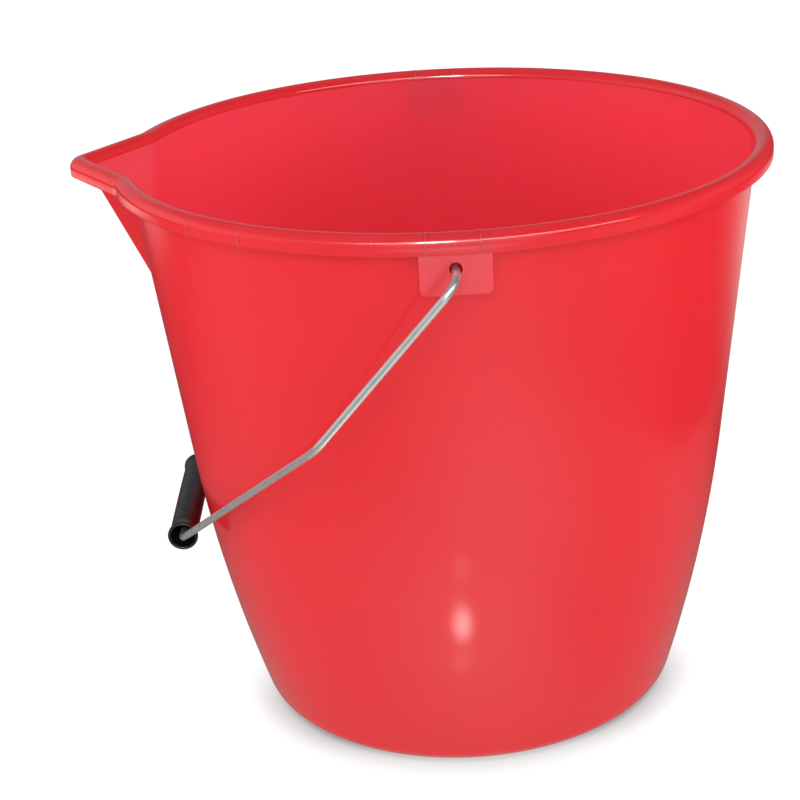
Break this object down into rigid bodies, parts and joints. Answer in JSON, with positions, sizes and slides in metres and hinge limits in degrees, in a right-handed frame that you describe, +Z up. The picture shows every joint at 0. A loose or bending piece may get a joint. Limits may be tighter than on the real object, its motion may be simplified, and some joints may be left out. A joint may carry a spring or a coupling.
{
  "type": "wash bucket",
  "caption": "Round plastic wash bucket with a V-shaped pouring lip, a swinging wire bail and a loose tubular grip.",
  "frame": {"origin": "centre of the underside, on the plane of the foot ring that the bucket stands on", "axes": "+Z up along the bucket's axis; -X towards the pouring lip; Y along the bail's pivot axis through both ears"},
  "size_m": [0.3312, 0.3408, 0.282],
  "materials": {
    "red_plastic": "semi-gloss injection-moulded polypropylene",
    "zinc_wire": "galvanised steel wire",
    "black_plastic": "satin polyethylene"
  },
  "bodies": {
    "bucket": {"bucket": "red_plastic"},
    "bail": {"bail": "zinc_wire"},
    "grip": {"grip": "black_plastic"}
  },
  "joints": [
    {"name": "bail_swing", "type": "hinge", "parent": "bucket", "child": "bail", "pos_m": [0, 0, 0.2667], "axis": [0, 1, 0], "range_deg": [-1, 281.4]},
    {"name": "grip_spin", "type": "hinge", "parent": "bail", "child": "grip", "pos_m": [-0.13865, 0, 0.10029], "axis": [0, 1, 0], "continuous": true}
  ]
}
